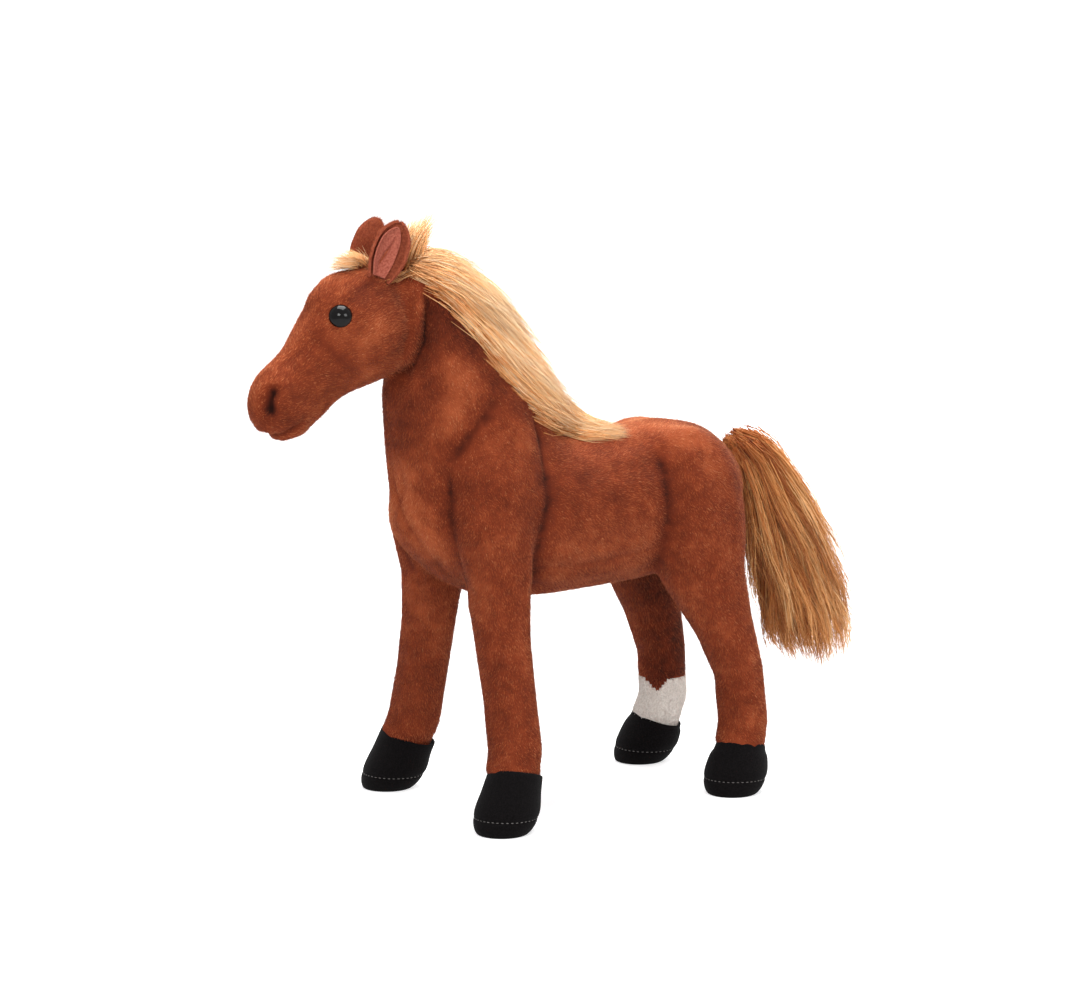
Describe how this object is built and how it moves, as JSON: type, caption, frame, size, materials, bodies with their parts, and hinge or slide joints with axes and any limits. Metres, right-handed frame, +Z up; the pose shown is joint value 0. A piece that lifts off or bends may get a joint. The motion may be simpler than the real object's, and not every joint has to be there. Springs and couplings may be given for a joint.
{
  "type": "plush horse",
  "caption": "Standing stuffed horse of chestnut short-pile cloth with a pale mane and forelock, long golden tail, glossy eyes, black cloth hooves and a white sock.",
  "frame": {"origin": "on the floor under the middle of the horse", "axes": "+X from muzzle to tail, +Y to the horse's right side, +Z up"},
  "size_m": [0.373, 0.154, 0.3154],
  "materials": {
    "brown_plush": "short pile plush, warm chestnut",
    "dark_plush": "short pile plush, darker chestnut",
    "white_plush": "short pile plush, off white",
    "pale_fur": "long pile fur, pale blond",
    "gold_fur": "long pile fur, golden brown",
    "fibre": "loose polyester fibre, packed firm",
    "black_cloth": "short nap cloth, black",
    "ear_lining": "smooth velour, reddish brown",
    "black_gloss": "polished",
    "white_plastic": "moulded"
  },
  "bodies": {
    "horse": {"torso_skin": "brown_plush", "torso_stuffing": "fibre", "neck_skin": "dark_plush", "neck_stuffing": "fibre", "head_skin": "dark_plush", "head_stuffing": "fibre", "eye_left": "black_gloss", "eye_washer_left": "white_plastic", "eye_right": "black_gloss", "eye_washer_right": "white_plastic", "foreleg_left_skin": "dark_plush", "foreleg_left_stuffing": "fibre", "hoof_fore_left_upper": "black_cloth", "hoof_fore_left_sole": "black_cloth", "foreleg_right_skin": "dark_plush", "foreleg_right_stuffing": "fibre", "hoof_fore_right_upper": "black_cloth", "hoof_fore_right_sole": "black_cloth", "hindleg_left_skin": "dark_plush", "hindleg_left_stuffing": "fibre", "hoof_hind_left_upper": "black_cloth", "hoof_hind_left_sole": "black_cloth", "hindleg_right_skin": "dark_plush", "hindleg_right_stuffing": "fibre", "hoof_hind_right_upper": "black_cloth", "hoof_hind_right_sole": "black_cloth", "sock_hind_right": "white_plush", "mane": "pale_fur", "forelock": "pale_fur"},
    "ear_left": {"ear_left": "dark_plush", "ear_lining_left": "ear_lining"},
    "ear_right": {"ear_right": "dark_plush", "ear_lining_right": "ear_lining"},
    "tail_knot": {"tail_knot": "gold_fur"},
    "tail": {"tail": "gold_fur"}
  },
  "joints": [
    {"name": "ear_left_fold", "type": "hinge", "parent": "horse", "child": "ear_left", "pos_m": [-0.11748, -0.01008, 0.28989], "axis": [-0.9438, 0.0998, 0.3152], "range_deg": [-30, 20], "stiffness_Nm_per_rad": 0.006},
    {"name": "ear_right_fold", "type": "hinge", "parent": "horse", "child": "ear_right", "pos_m": [-0.11748, 0.01008, 0.28989], "axis": [0.9438, 0.0998, -0.3152], "range_deg": [-30, 20], "stiffness_Nm_per_rad": 0.006},
    {"name": "tail_swing", "type": "hinge", "parent": "horse", "child": "tail_knot", "pos_m": [0.10692, 0, 0.18384], "axis": [0, 0, 1], "range_deg": [-40, 40], "stiffness_Nm_per_rad": 0.01},
    {"name": "tail_lift", "type": "hinge", "parent": "tail_knot", "child": "tail", "pos_m": [0.10692, 0, 0.18384], "axis": [0, -1, 0], "range_deg": [0, 60]}
  ]
}
